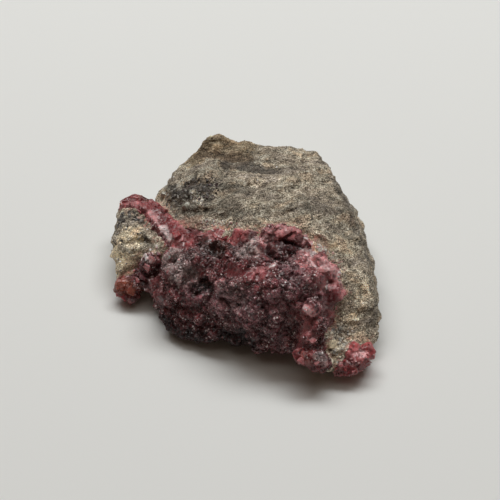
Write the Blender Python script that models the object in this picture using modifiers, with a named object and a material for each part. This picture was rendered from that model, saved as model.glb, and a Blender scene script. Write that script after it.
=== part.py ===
"""Eudialyte on matrix: a palm-sized specimen of grey, layered rock with a crust of dark red crystals.

Run it with  blender --background --python part.py  or from Blender's text editor.
+X is to the right of the specimen's front, +Y to its back and +Z up, and it rests on its flat at z = 0.
Every place and size below is in millimetres, and the objects are built in metres.

The rock and the body of the crust are each a closed stone with an upper and a lower skin of flat
facets between hand-placed corners. The skins share a rim, the widest line round the stone. Each stone
is then given rounded edges, broken ledges and pits, and the crust is studded with crystals. Last, the
crystals and the crust are trimmed where they meet the rock, with a hairline gap.
"""

import math
import random

import bmesh
import bpy
from mathutils import Matrix, Vector, geometry, noise

MM = 0.001

CONTACT_GAP = 0.35
REST_HEIGHT = 0.0

# A crystal's shape, in shares of its half-width
BELT_RISE = 0.2
END_HEIGHT = 0.72
END_WIDTH = 0.58

# How far a crystal lies sunk in the crust, as a share of its half-width, and its height over the floor
CRYSTAL_SINK = 0.45
FLOOR_CLEARANCE = 0.6

# The furthest that a sharp corner moves when a surface is grown, in multiples of what its faces move
LONGEST_MOVE = 2.0

# How far the small crystal of a bead sits from the large one's middle, as a share of its half-width
SMALL_OFFSET = 0.75

# Layers, ledges and flat chips of the rock. It splits along layers that lean back, so its ledges run
# from left to right across its top
LAYER_NORMAL = Vector((-0.14, 0.66, 0.74)).normalized()
LAYER_SPACING = 5.5
LAYER_STEP = 0.5
LAYER_STRETCH = 2.6
CHIP_SIZE = 6.5
CHIP_SLOPE = 0.26
ROUGHNESS = 0.22

# Rounded knobs of the crust, with grooves between them, and the broad swells of both stones. A knob's
# top is KNOB_TOP of its height above the facet below it and its groove the rest beneath
KNOB_SIZE = 6.5
KNOB_HEIGHT = 1.7
KNOB_TOP = 0.35
GROOVE_WIDTH = 0.6
SWELL_SIZE = 12.0
SWELL_HEIGHT = 0.8

# Behind this y the crust is the smoother band along the lobe, with lower knobs and no crystals of its own
SMOOTH_FROM = 0.5
SMOOTH_SHARE = 0.3

# The crystals that stud the crust: how many places are tried, how far apart they are, and the least, the
# greatest and the most usual half-width
STUD_COUNT = 92
STUD_SPACING = 4.0
STUD_WIDTHS = (1.9, 3.5, 2.5)

# Side of the even faces that a stone is rebuilt from, and the triangles that are left of it in the end
FACE_SIDE = 0.6
ROCK_TRIANGLES = 3200
CRUST_TRIANGLES = 750

# The rock's widest line, clockwise from above, starting behind the peak at its back left
ROCK_RIM = [
    (-14.0, 28.3, 10), (-9.4, 31.2, 11), (-2.0, 31.2, 9), (5.0, 31.8, 8), (12.0, 31.3, 8), (18.8, 30.2, 8),
    (23.3, 24.2, 5.8), (25.3, 19.0, 5.8), (27.5, 13.3, 5.8), (29.1, 7.2, 5.8), (30.4, -0.5, 5.8),
    (31.0, -8.0, 4.8), (31.2, -13.9, 4.7), (30.7, -19.4, 3), (29.0, -21.3, 3), (28.4, -24.8, 2.6),
    (23.5, -27.2, 2.6), (18.0, -28.3, 3.8), (14.0, -25.0, 6), (10.0, -18.0, 6), (2.0, -14.5, 5),
    (-6.0, -13.0, 4), (-13.0, -10.5, 5), (-18.0, -4.6, 5.3), (-21.5, -1.2, 5.4), (-25.3, -2.8, 3.4),
    (-29.6, -3.6, 2.4), (-31.0, 0.1, 4.9), (-31.8, 5.6, 6.9), (-31.7, 11.1, 6.9), (-31.4, 16.4, 6.9),
    (-27.2, 18.6, 6.9), (-22.5, 17.4, 6.9), (-22.0, 20.0, 8.6), (-19.6, 23.0, 8.6), (-16.8, 26.4, 10),
]

# The rock's upper side: the edge of its top, the tan peak and the step below it, the broad back of the
# rock, its slope down to the right foot, the bed that the crust hides, and the top of the left lobe
ROCK_UPPER = [
    (-12.0, 28.1, 16.8), (-9.4, 30.2, 19.3), (-6.2, 30.2, 19.4), (-2.8, 29.2, 18.6), (4.0, 29.6, 17.2),
    (10.8, 29.0, 16.6), (17.3, 28.3, 15.6), (19.6, 23.6, 15.8), (21.8, 17.0, 16.4), (23.6, 10.5, 16.8),
    (25.4, 3.0, 16.2), (27.0, -4.5, 14.6), (28.0, -11.0, 12.4), (28.6, -15.3, 8.2), (28.4, -19.0, 5.6),
    (-10.4, 26.0, 16.6), (-7.0, 26.3, 16.8), (-3.4, 25.4, 16.9), (1.0, 24.4, 17.2), (-14.2, 27.2, 14.8),
    (-16.2, 24.6, 13.6), (-18.3, 20.6, 13), (-20.6, 18.5, 10), (-10.5, 20.0, 18.4), (-4.8, 21.5, 17.7),
    (1.5, 19.4, 18.1), (7.0, 21.0, 18.3), (-11.5, 15.0, 18), (-4.5, 13.5, 19.9), (2.5, 14.0, 20.3),
    (9.0, 16.0, 19.9), (14.5, 20.0, 18.2), (14.5, 12.0, 20.2), (-3.0, 8.0, 20.5), (3.5, 5.5, 21.3),
    (12.0, 4.0, 21.8), (18.8, 6.0, 19.8), (-15.5, 13.8, 14.9), (-13.5, 9.8, 15.8), (-10.8, 9.0, 17),
    (-7.0, 6.5, 18.5), (8.0, 2.0, 21.5), (15.5, -1.5, 21.2), (21.0, -3.5, 19.2), (-15.4, 8.6, 13.6),
    (-12.8, 6.7, 14.8), (-10.4, 5.4, 15.6), (-6.9, 2.9, 17.1), (-3.4, 0.5, 18.6), (0.0, -0.3, 19.6),
    (3.8, -1.1, 20.5), (7.8, -0.6, 21), (11.8, -1.6, 21.3), (14.8, -4.6, 20.8), (14.0, -7.2, 20.3),
    (17.0, -6.8, 20), (20.8, -9.0, 18.3), (22.5, -12.8, 15.6), (22.6, -16.4, 11.3), (22.0, -19.9, 8.4),
    (25.0, -17.1, 9.5), (18.6, -23.5, 8.8), (23.8, -23.5, 6.2), (18.8, -26.2, 6.1), (-12.5, 3.0, 11),
    (-7.0, -0.5, 13.5), (0.0, -3.2, 15.5), (7.8, -3.2, 17.2), (12.6, -4.6, 17.5), (-12.0, -4.0, 12),
    (-4.0, -6.5, 14.5), (5.0, -8.5, 16), (12.0, -12.0, 15.5), (16.0, -17.8, 11.8), (-5.0, -11.0, 9),
    (5.0, -13.0, 10), (-29.4, 13.0, 11.4), (-25.8, 12.8, 12.0), (-24.2, 10.6, 11.8), (-22.0, 6.2, 12.4),
    (-19.6, 2.4, 13.2), (-18.0, -0.6, 13.7), (-20.6, 12.0, 10.4), (-18.4, 8.0, 11.0), (-16.2, 4.0, 11.6),
    (-26.6, 16.4, 9.6), (-29.4, 15.8, 9.2), (-23.4, 15.0, 10.0), (-28.8, 9.1, 12.3), (-24.5, 5.6, 12.8),
    (-29.3, 2.6, 10.9), (-20.5, 0.1, 12.1), (-25.5, -0.2, 10.3), (-29.0, -2.0, 6.4), (-23.3, -0.6, 8.3),
]

# The rock's underside. The corners below zero are levelled into the flat that it rests on
ROCK_LOWER = [
    (-13.0, -7.0, -2.4), (0.0, -9.5, -2.4), (11.0, -6.0, -2.4), (14.5, 6.0, -2.4), (10.0, 17.0, -2.4),
    (-2.0, 20.0, -2.4), (-12.0, 14.0, -2.4), (-15.0, 3.0, -2.4), (17.0, -18.4, 1.2), (22.5, -22.4, 1.2),
    (23.0, -8.0, 1.2), (21.5, 8.0, 1.2), (16.5, 22.0, 1.2), (4.0, 26.5, 1.8), (-8.5, 26.0, 2.4),
    (-18.0, 13.4, 1.3), (-25.0, 12.6, 2.9), (-27.0, 4.6, 2.4), (-26.0, -1.4, 1.2),
]

# The crust's widest line, clockwise from above: along the lobe's inner edge, round its back and out
# again, hidden in the rock behind the crest, then down the right end, along the foot and round the lobe's tip
CRUST_RIM = [
    (-21.4, 0.2, 7), (-19.4, 0.6, 9), (-20.8, 3.6, 9.5), (-23.0, 5.8, 9.3), (-24.4, 9.4, 8.8),
    (-25.6, 11.6, 8), (-27.6, 12.4, 7.6), (-31.0, 13.8, 7.4), (-30.7, 17.6, 7.2), (-27.1, 19.2, 7.4),
    (-23.4, 18.2, 7.6), (-20.2, 16.4, 8), (-18.0, 12.6, 9.2), (-16.2, 9.8, 10), (-13.0, 8.6, 11),
    (-8.0, 5.4, 12), (-2.0, 2.0, 14), (4.0, 0.8, 15), (9.0, 1.2, 16), (14.0, -1.5, 16), (17.5, -5.0, 15),
    (20.8, -8.0, 13.5), (22.2, -13.0, 12), (20.8, -18.4, 9), (18.0, -23.0, 7), (17.4, -27.0, 5),
    (15.5, -29.4, 5.5), (12.0, -28.2, 5), (10.6, -24.8, 5), (5.6, -23.4, 4), (1.0, -22.1, 3),
    (-3.5, -20.3, 2.6), (-9.0, -19.4, 2.4), (-12.7, -18.8, 2.4), (-16.6, -16.4, 2.4), (-19.8, -12.3, 2.4),
    (-20.8, -8.2, 2.4), (-22.6, -6.0, 2.6), (-24.8, -6.0, 1.8), (-27.2, -6.8, 1.5), (-29.4, -5.2, 1.8),
    (-30.0, -2.6, 3.6), (-27.0, -1.0, 5), (-24.0, 0.8, 6),
]

# The crust's upper side: the left end and the lobe's tip, the band along the lobe's edge, the valley
# against the rock, the crest with its hollow, the front slope and the column down the right end
CRUST_UPPER = [
    (-18.4, -4.6, 13.7), (-14.6, -5.2, 18), (-15.5, -9.7, 15.4), (-12.0, -13.8, 11.7), (-17.3, -12.1, 8.5),
    (-18.9, -8.8, 9.9), (-20.8, -4.2, 8.4), (-22.4, -2.2, 9.6), (-24.2, -3.0, 7.8), (-26.0, -4.2, 6.2),
    (-28.6, -3.6, 5.6), (-27.2, -5.8, 3.8), (-16.3, -14.9, 4.9), (-11.0, -17.0, 5.8), (-6.5, -18.5, 6.5),
    (-29.8, 14.4, 11.6), (-26.8, 13.8, 12.5), (-24.2, 12.6, 13), (-22.8, 9.8, 13.4), (-21.4, 6.8, 14),
    (-19.6, 4.6, 14.7), (-18.2, 2.2, 15.2), (-17.2, 0.2, 15.5), (-29.8, 17.1, 10.8), (-27.0, 18.4, 11.2),
    (-23.4, 17.4, 11.8), (-20.6, 14.4, 12.6), (-18.8, 11.0, 13.8), (-17.2, 7.8, 14.6), (-15.6, 4.8, 15),
    (-14.8, 1.8, 15.1), (-14.8, 7.8, 13.6), (-12.8, 6.0, 15), (-10.2, 4.7, 16), (-6.9, 2.1, 17.6),
    (-3.4, -0.4, 19.1), (0.0, -1.2, 20.1), (3.8, -2.1, 21.1), (7.8, -1.8, 21.8), (11.4, -3.0, 22),
    (13.2, -5.4, 21.5), (12.2, -9.2, 21), (14.9, -9.8, 21), (17.6, -8.9, 20.6), (19.7, -11.0, 19.4),
    (20.6, -14.3, 17.1), (19.6, -16.9, 15.3), (18.2, -19.4, 13.9), (16.2, -21.6, 13.2), (16.6, -25.8, 11),
    (15.4, -28.4, 8.2), (-13.8, 3.4, 13.7), (-9.4, 2.0, 15.5), (-5.7, -1.0, 17.2), (-1.6, -3.2, 18.7),
    (2.2, -4.6, 20.2), (8.6, -5.4, 19.2), (5.8, -8.6, 20.6), (11.0, -7.6, 20), (-5.5, -8.0, 19.6),
    (-1.0, -11.0, 20.8), (3.5, -10.5, 21.4), (12.5, -13.0, 21.8), (16.5, -13.0, 20.5), (-10.5, -8.5, 18),
    (-6.5, -13.2, 17), (-1.0, -16.5, 19.6), (4.5, -17.0, 21.3), (9.5, -18.6, 20.4), (15.0, -19.0, 17.8),
    (-9.0, -14.8, 10.7), (-3.5, -18.3, 13.7), (2.0, -20.4, 17.4), (7.5, -21.0, 16.7), (11.4, -21.2, 12.8),
    (3.5, -22.2, 11.5), (-2.0, -20.7, 8.8), (9.0, -23.0, 8), (14.4, -21.2, 15.8), (14.8, -23.8, 13),
    (13.0, -25.2, 9.8), (12.4, -27.2, 7.5),
]

# The crust's underside, over the floor in front of the rock
CRUST_LOWER = [
    (-14.0, -8.0, 2), (-4.0, -12.0, 1.9), (5.0, -15.0, 2), (14.0, -20.0, 3.5), (12.0, -8.0, 6),
    (-8.0, -3.0, 7),
]

# Crystals that stand out by themselves, as place and half-width
CRUST_CRYSTALS = [
    (8.0, -2.6, 21.2, 2.3), (10.6, -3.4, 21.4, 2.2), (12.6, -5.2, 21.0, 1.9), (6.2, -6.8, 20.0, 2.0),
    (9.8, -7.8, 20.2, 2.3), (5.0, -2.9, 20.6, 1.7), (16.6, -9.8, 20.2, 2.0), (18.8, -11.9, 18.5, 2.2),
    (19.4, -15.0, 15.8, 2.1), (14.6, -20.3, 16.8, 2.3), (16.2, -22.5, 13.3, 2.3), (14.2, -24.3, 11.2, 2.3),
    (12.6, -26.6, 8.0, 2.4), (15.3, -27.4, 8.4, 2.4), (-20.2, -5.5, 6.6, 2.3), (-22.6, -2.0, 8.7, 2.1),
    (-23.5, -3.0, 6.1, 2.3), (-21.6, -2.0, 10.5, 2.2), (-18.8, -8.7, 6.3, 2.4),
]

# The crystals round the lobe's front tip and those on the right foot, as place and half-width
LEFT_TIP = [
    (-28.6, -4.0, 3.7, 2.3), (-27.0, -4.8, 3.1, 2.3), (-26.4, -6.1, 2.5, 2.2), (-25.0, -4.0, 4.4, 2.2),
]
RIGHT_TOE = [
    (20.8, -26.9, 3.0, 1.8), (23.2, -26.6, 3.6, 2.5), (25.2, -25.2, 4.2, 3.0), (26.9, -23.3, 4.6, 2.4),
    (23.6, -24.4, 5.2, 2.2),
]


def mesh_object(name, bm):
    """A new object in the scene that holds the bmesh."""
    mesh = bpy.data.meshes.new(name)
    bm.to_mesh(mesh)
    bm.free()
    obj = bpy.data.objects.new(name, mesh)
    bpy.context.scene.collection.objects.link(obj)
    return obj


def apply_modifiers(obj):
    """Keeps the object's mesh as its modifiers leave it, and drops them."""
    graph = bpy.context.evaluated_depsgraph_get()
    mesh = bpy.data.meshes.new_from_object(obj.evaluated_get(graph))
    obj.modifiers.clear()
    obj.data = mesh


def skin(rim, inner):
    """The flat facets between the corners of one skin, as triples that count the rim's corners first."""
    corners = [Vector(place[:2]) for place in rim + inner]
    outline = list(range(len(rim)))
    triangles_inside = 1
    found = geometry.delaunay_2d_cdt(corners, [], [outline], triangles_inside, 1e-6)
    source = [originals[0] for originals in found[3]]
    return [[source[corner] for corner in face] for face in found[2]]


def stone(name, rim, upper, lower):
    """A closed stone whose upper and lower skins meet along the rim."""
    bm = bmesh.new()
    ring = [bm.verts.new(Vector(place) * MM) for place in rim]
    for inner, faces_up in ((upper, True), (lower, False)):
        corners = ring + [bm.verts.new(Vector(place) * MM) for place in inner]
        for face in skin(rim, inner):
            bm.faces.new([corners[i] for i in (face if faces_up else reversed(face))])
    return mesh_object(name, bm)


def even_out(obj, smoothing):
    """Rebuilds the surface from even small faces, with the facets' edges a little rounded."""
    remesh = obj.modifiers.new("Even faces", "REMESH")
    remesh.mode = "VOXEL"
    remesh.voxel_size = FACE_SIDE * MM
    rounded = obj.modifiers.new("Rounded edges", "SMOOTH")
    rounded.factor = 0.5
    rounded.iterations = smoothing
    apply_modifiers(obj)


def swell(obj, height):
    """Moves each point of the surface outwards by height(point), both in millimetres."""
    places = [vertex.co.copy() for vertex in obj.data.vertices]
    normals = [vertex.normal.copy() for vertex in obj.data.vertices]
    for vertex, place, normal in zip(obj.data.vertices, places, normals):
        vertex.co = place + normal * height(place / MM) * MM
    obj.data.update()


def along_layers(place):
    """The place with its distance across the layers stretched, so that cells round it are flat slabs."""
    return place + LAYER_NORMAL * LAYER_NORMAL.dot(place) * (LAYER_STRETCH - 1)


def chips(place):
    """Flat broken faces, each a cell with a slope of its own, that meet in small steps."""
    spot = along_layers(place) / CHIP_SIZE
    centre = noise.voronoi(spot)[1][0]
    slope = noise.cell_vector(centre * 7.3) * 2 - Vector((1, 1, 1))
    return slope.dot(spot - centre) * CHIP_SLOPE * CHIP_SIZE / 2


def ledges(place):
    """Steps where layers end: a saw-tooth across the layers, bent by a broad warp."""
    warp = noise.noise(place / SWELL_SIZE) * LAYER_SPACING
    across = (LAYER_NORMAL.dot(place) + warp) / LAYER_SPACING
    return (0.5 - (across - math.floor(across))) * LAYER_STEP


def rock_relief(place):
    """Height of the rock's broken surface over its facets."""
    return chips(place) + ledges(place) + noise.fractal(place / 4, 1, 2, 3) * ROUGHNESS


def crust_relief(place):
    """Height of the crust's lumps: rounded knobs, each a cell, with grooves between them."""
    nearest, second = noise.voronoi(place / KNOB_SIZE)[0][:2]
    groove = 1 - min((second - nearest) / GROOVE_WIDTH, 1)
    height = KNOB_HEIGHT if place.y < SMOOTH_FROM else KNOB_HEIGHT * SMOOTH_SHARE
    return height * (KNOB_TOP - groove * groove) + noise.noise(place / SWELL_SIZE) * SWELL_HEIGHT


def simplify(obj, triangles):
    """Fewer, larger facets, down to about that many triangles."""
    obj.data.calc_loop_triangles()
    decimate = obj.modifiers.new("Fewer facets", "DECIMATE")
    decimate.ratio = min(1.0, triangles / len(obj.data.loop_triangles))
    decimate.use_collapse_triangulate = True
    apply_modifiers(obj)


def cut_level(obj, height):
    """Cuts off what lies below the height and closes the cut with one flat face."""
    bm = bmesh.new()
    bm.from_mesh(obj.data)
    everything = bm.verts[:] + bm.edges[:] + bm.faces[:]
    level = Vector((0, 0, height * MM))
    cut = bmesh.ops.bisect_plane(bm, geom=everything, plane_co=level, plane_no=(0, 0, -1), clear_outer=True)
    rim = [edge for edge in cut["geom_cut"] if isinstance(edge, bmesh.types.BMEdge)]
    bmesh.ops.edgenet_fill(bm, edges=rim)
    bmesh.ops.recalc_face_normals(bm, faces=bm.faces[:])
    bmesh.ops.triangulate(bm, faces=bm.faces[:])
    bm.to_mesh(obj.data)
    bm.free()


def add_crystal(bm, place, half_width, turn):
    """A stubby trigonal crystal: six belt corners, up and down by turns, between two three-sided ends."""
    corners = []
    for i in range(6):
        angle = math.radians(60 * i)
        corners.append(Vector((math.cos(angle), math.sin(angle), BELT_RISE if i % 2 else -BELT_RISE)))
    for end, first in ((END_HEIGHT, 60), (-END_HEIGHT, 0)):
        for i in range(3):
            angle = math.radians(first + 120 * i)
            corners.append(Vector((END_WIDTH * math.cos(angle), END_WIDTH * math.sin(angle), end)))
    verts = [bm.verts.new((place + turn @ corner * half_width) * MM) for corner in corners]
    bmesh.ops.convex_hull(bm, input=verts)


def any_turn(rng):
    """A rotation to any attitude."""
    axis = Vector((rng.gauss(0, 1), rng.gauss(0, 1), rng.gauss(0, 1))).normalized()
    return Matrix.Rotation(rng.uniform(0, math.tau), 3, axis)


def spread_spots(obj, rng, count, spacing):
    """Up to count places on the surface, at least the spacing apart, each with its normal."""
    faces = obj.data.polygons
    picks = rng.choices(range(len(faces)), weights=[face.area for face in faces], k=count * 40)
    spots = []
    for pick in picks:
        spot = faces[pick].center / MM
        if all((spot - other).length > spacing for other, normal in spots):
            spots.append((spot, faces[pick].normal.copy()))
        if len(spots) == count:
            break
    return spots


def boolean(obj, other, operation):
    """Joins or cuts the object with another mesh. Either may have parts of its own that cross."""
    modifier = obj.modifiers.new(operation.title(), "BOOLEAN")
    modifier.operation = operation
    modifier.solver = "EXACT"
    modifier.use_self = True
    modifier.object = other
    apply_modifiers(obj)
    bpy.data.objects.remove(other)


def grown_copy(obj, distance):
    """A copy with every face moved outwards by the distance, for cutting a neighbour that touches it."""
    bm = bmesh.new()
    bm.from_mesh(obj.data)
    moves = [vert.normal * min(vert.calc_shell_factor(), LONGEST_MOVE) for vert in bm.verts]
    for vert, move in zip(bm.verts, moves):
        vert.co += move * distance * MM
    return mesh_object(obj.name + "_grown", bm)


def keep_largest(obj):
    """Drops the loose crumbs that a cut leaves."""
    bm = bmesh.new()
    bm.from_mesh(obj.data)
    left, islands = set(bm.verts), []
    while left:
        island, edge_of_search = set(), [next(iter(left))]
        while edge_of_search:
            vert = edge_of_search.pop()
            if vert in island:
                continue
            island.add(vert)
            edge_of_search += [edge.other_vert(vert) for edge in vert.link_edges]
        islands.append(island)
        left -= island
    islands.sort(key=len)
    crumbs = [vert for island in islands[:-1] for vert in island]
    bmesh.ops.delete(bm, geom=crumbs, context="VERTS")
    bm.to_mesh(obj.data)
    bm.free()


def add_band(large, small, beads, rng):
    """A band of crystals: a large one at each bead, grown into the next, with a small one above it."""
    for x, y, z, half_width in beads:
        place = Vector((x, y, z))
        add_crystal(large, place, half_width, any_turn(rng))
        offset = any_turn(rng) @ Vector((0, 0, half_width * SMALL_OFFSET))
        offset.z = abs(offset.z)
        add_crystal(small, place + offset, half_width * rng.uniform(0.5, 0.75), any_turn(rng))


def make_rock():
    """The grey matrix: one piece of broken, layered rock."""
    rock = stone("matrix", ROCK_RIM, ROCK_UPPER, ROCK_LOWER)
    even_out(rock, smoothing=5)
    swell(rock, rock_relief)
    simplify(rock, ROCK_TRIANGLES)
    cut_level(rock, REST_HEIGHT)
    return rock


def make_crust(rock):
    """The main mass of eudialyte: a lumpy crust over the rock's front, studded with crystals."""
    rng = random.Random(11)
    crust = stone("main_eudialyte", CRUST_RIM, CRUST_UPPER, CRUST_LOWER)
    even_out(crust, smoothing=8)
    swell(crust, crust_relief)
    even_out(crust, smoothing=1)
    simplify(crust, CRUST_TRIANGLES)
    bm = bmesh.new()
    for spot, normal in spread_spots(crust, rng, STUD_COUNT, STUD_SPACING):
        half_width = rng.triangular(*STUD_WIDTHS)
        if spot.z > half_width + FLOOR_CLEARANCE and spot.y < SMOOTH_FROM:
            add_crystal(bm, spot - normal * half_width * CRYSTAL_SINK, half_width, any_turn(rng))
    for x, y, z, half_width in CRUST_CRYSTALS:
        add_crystal(bm, Vector((x, y, z)), half_width, any_turn(rng))
    add_band(bm, bm, LEFT_TIP, rng)
    boolean(crust, mesh_object("crust_crystals", bm), "UNION")
    boolean(crust, grown_copy(rock, CONTACT_GAP), "DIFFERENCE")
    keep_largest(crust)
    return crust


def make_toe(rock):
    """The bright crystals on the rock's right foot, which stand apart from the crust."""
    rng = random.Random(8)
    large, small = bmesh.new(), bmesh.new()
    add_band(large, small, RIGHT_TOE, rng)
    toe = mesh_object("right_toe_eudialyte", large)
    boolean(toe, mesh_object("toe_small_crystals", small), "UNION")
    boolean(toe, grown_copy(rock, CONTACT_GAP), "DIFFERENCE")
    keep_largest(toe)
    return toe


def material(name, colour, roughness):
    """A plain mineral finish."""
    made = bpy.data.materials.new(name)
    made.use_nodes = True
    shader = made.node_tree.nodes["Principled BSDF"]
    shader.inputs["Base Color"].default_value = (*colour, 1)
    shader.inputs["Roughness"].default_value = roughness
    shader.inputs["Metallic"].default_value = 0
    return made


def centre_on_base(objects):
    """Moves the whole specimen so that the middle of its bounding box's underside is the origin."""
    points = [vertex.co for obj in objects for vertex in obj.data.vertices]
    low = Vector(min(point[axis] for point in points) for axis in range(3))
    high = Vector(max(point[axis] for point in points) for axis in range(3))
    shift = Vector((-(low.x + high.x) / 2, -(low.y + high.y) / 2, -low.z))
    for obj in objects:
        obj.data.transform(Matrix.Translation(shift))


def main():
    for obj in list(bpy.data.objects):
        bpy.data.objects.remove(obj)
    rock = make_rock()
    crust = make_crust(rock)
    toe = make_toe(rock)
    rock.data.materials.append(material("grey_layered_rock", (0.31, 0.28, 0.22), 0.85))
    crust.data.materials.append(material("dark_red_eudialyte", (0.12, 0.03, 0.045), 0.35))
    toe.data.materials.append(material("bright_red_eudialyte", (0.4, 0.06, 0.09), 0.35))
    specimen = bpy.data.collections.new("eudialyte_on_matrix")
    bpy.context.scene.collection.children.link(specimen)
    pieces = [rock, crust, toe]
    for piece in pieces:
        bpy.context.scene.collection.objects.unlink(piece)
        specimen.objects.link(piece)
    centre_on_base(pieces)


if __name__ == "__main__":
    main()
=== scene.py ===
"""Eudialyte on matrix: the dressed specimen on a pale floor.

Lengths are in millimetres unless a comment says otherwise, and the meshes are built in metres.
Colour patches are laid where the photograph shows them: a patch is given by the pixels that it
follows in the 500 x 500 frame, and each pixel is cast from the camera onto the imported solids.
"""

import math

import bmesh
import bpy
import numpy as np
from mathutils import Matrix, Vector, noise
from mathutils.bvhtree import BVHTree


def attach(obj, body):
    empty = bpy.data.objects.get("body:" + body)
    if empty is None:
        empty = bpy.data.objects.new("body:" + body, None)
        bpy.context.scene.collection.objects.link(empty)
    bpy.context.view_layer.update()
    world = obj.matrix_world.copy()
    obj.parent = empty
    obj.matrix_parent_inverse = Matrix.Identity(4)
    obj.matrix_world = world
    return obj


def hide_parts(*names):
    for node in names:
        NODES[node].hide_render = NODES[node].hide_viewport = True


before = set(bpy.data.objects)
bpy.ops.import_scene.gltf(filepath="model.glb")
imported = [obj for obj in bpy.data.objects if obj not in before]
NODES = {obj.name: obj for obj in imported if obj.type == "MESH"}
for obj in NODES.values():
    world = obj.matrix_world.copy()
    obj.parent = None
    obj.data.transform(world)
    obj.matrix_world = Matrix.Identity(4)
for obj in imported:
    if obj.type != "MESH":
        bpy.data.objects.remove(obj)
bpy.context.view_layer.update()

MM = 0.001

# The camera: the frame's side in pixels, its angle above the floor, and what it looks at
FRAME_SIDE = 500
ELEVATION = 50.0
DISTANCE = 290.0
TARGET = Vector((1.67, -1.05, 12.0))
SENSOR = 36.0
LENS = 90.83
# How near the camera starts to see, in metres
NEAREST_SEEN = 0.01

# The two lights, which both face the specimen: place and size in metres, power and colour
LIGHTS = (
    ("window", (0.02, 0.47, 0.88), (1.15, 0.26), 8.2, (0.99, 1.0, 1.0)),
    ("overhead", (0.0, 0.26, 0.86), (1.2, 0.9), 2.2, (1.0, 0.93, 0.85)),
)
ROOM_COLOUR = (1.0, 0.68, 0.48, 1)
ROOM_STRENGTH = 0.055
FLOOR_COLOUR = (0.80, 0.82, 0.81, 1)
# How far the floor reaches to each side, in metres
FLOOR_REACH = 3.0

# Across the rock's layers
LAYER_NORMAL = Vector((-0.14, 0.66, 0.74)).normalized()

# Edge of the small faces that each solid's surface is rebuilt from, and how much they are smoothed
ROCK_VOXEL = 0.32
CRUST_VOXEL = 0.29
TOE_VOXEL = 0.2
ROCK_SMOOTHING = 10
CRYSTAL_SMOOTHING = 2
SMOOTH_FACTOR = 0.5

# How many fine grains lie on each surface, and the seeds of the random draws
FRAGMENT_COUNT = 7000
CRUST_GRAIN_COUNT = 14500
TOE_GRAIN_COUNT = 420
FRAGMENT_SEED = 21
TOE_SEED = 31
CRUST_SEED = 5
CRYSTAL_SEED = 12

# The lowest place where a fine grain may sit, and how low a grain's corners may reach
LOWEST_GRAIN = 0.8
LOWEST_CORNER = 0.02

# How far from the rock a crystal's distance to it still counts
CRYSTAL_REACH = 3.0

# As shares of a patch's or a zone's radius: how far its edge wanders, and from where to where it fades
PATCH_WANDER = 0.65
PATCH_FADE = (0.7, 1.15)
ZONE_WANDER = 0.3
ZONE_FADE = (0.75, 1.15)

# How far apart the noises of two seeds lie, and the spread that gives each slab a slope of its own
NOISE_STEP = (17.3, 9.1, -23.7)
STREAK_STEP = (11.3, 5.1, 2.7)
SLAB_SPREAD = 7.3
# How wide the grooves between the knobs are
GROOVE = 0.5

# Colours, linear. Those of the rock are multipliers of its own grey-beige
ROCK_TINTS = {
    "plain": (0.98, 0.97, 0.96),
    "tan": (0.92, 0.80, 0.64),
    "brown": (0.42, 0.34, 0.26),
    "dark": (0.40, 0.39, 0.39),
    "darker": (0.19, 0.18, 0.19),
    "pale": (1.38, 1.35, 1.32),
    "white": (2.1, 2.08, 2.08),
    "cream": (1.95, 1.88, 1.76),
    "yellow": (2.1, 1.95, 1.65),
    # bright is painted light, for faces that lie in shade
    "bright": (2.6, 2.45, 2.15),
    "pink": (1.25, 0.55, 0.55),
    "maroon": (0.60, 0.34, 0.29),
    "rust": (1.1, 0.72, 0.45),
}
# The mean colour of the rock's own pattern
ROCK_BASE = (0.33, 0.285, 0.225)
# The rock's own pattern, from its dark grains to its pale ones
ROCK_SHADES = [
    (0.40, (0.026, 0.022, 0.018)),
    (0.455, (0.125, 0.105, 0.082)),
    (0.505, (0.300, 0.253, 0.191)),
    (0.555, (0.53, 0.478, 0.392)),
    (0.62, (0.87, 0.82, 0.73)),
]
# The slow change of its hue along the layers, as multipliers
ROCK_HUES = [
    (0.34, (0.80, 0.79, 0.80)),
    (0.44, (1.0, 0.97, 0.92)),
    (0.52, (0.92, 0.96, 0.94)),
    (0.60, (1.16, 1.08, 0.96)),
    (0.70, (1.10, 0.95, 0.85)),
]
# What the pale, warm parts of the rock are mixed with, to quieten their dark grains
CALM_ROCK = (0.375, 0.335, 0.28, 1)
CRYSTAL_COLOURS = {
    "wine": (0.135, 0.040, 0.043),
    "dark": (0.060, 0.017, 0.019),
    "black": (0.009, 0.002, 0.003),
    "purple": (0.205, 0.082, 0.094),
    "violet_grey": (0.420, 0.312, 0.300),
    "lilac_grey": (0.390, 0.260, 0.265),
    "red": (0.170, 0.030, 0.034),
    "bright_red": (0.290, 0.058, 0.062),
    "pink": (0.460, 0.170, 0.178),
    "pale_pink": (0.640, 0.350, 0.355),
    "white": (0.800, 0.690, 0.680),
    "orange": (0.260, 0.076, 0.050),
    "brown": (0.090, 0.034, 0.022),
}
# The whitish clouds inside the clear crystals, and the dust and painted sheen on the others
CLOUD_COLOUR = (0.50, 0.245, 0.235, 1)
DUST_AND_SHEEN_COLOUR = (0.48, 0.30, 0.29, 1)
# The middle of a colour's range, taken off to make it point either way
MIDDLE = (0.5, 0.5, 0.5)
GRAIN_COLOURS = {
    "grey_green": (0.33, 0.32, 0.265),
    "white": (0.62, 0.59, 0.54),
    "cream": (0.62, 0.57, 0.47),
    "yellow": (0.80, 0.70, 0.50),
    "grey": (0.17, 0.155, 0.14),
    "black": (0.045, 0.037, 0.033),
    "dusky": (0.11, 0.075, 0.075),
    "pale_grey": (0.42, 0.40, 0.36),
    "rosy": (0.46, 0.26, 0.24),
}
# The specks are partly the crystals' own pale grains and partly painted highlights on grains that face up
# Pale specks among the crust's grains: colour, share of the grains, and how strong at least and at most
SPECKS = (("lilac_grey", 0.26, 0.4, 1.0), ("pale_pink", 0.05, 0.4, 0.9), ("white", 0.13, 0.3, 1.0))
LARGEST_SPECK = 0.30
# Share of the toe's fine crystals that are pale
PALE_TOE_SHARE = 0.22


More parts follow.
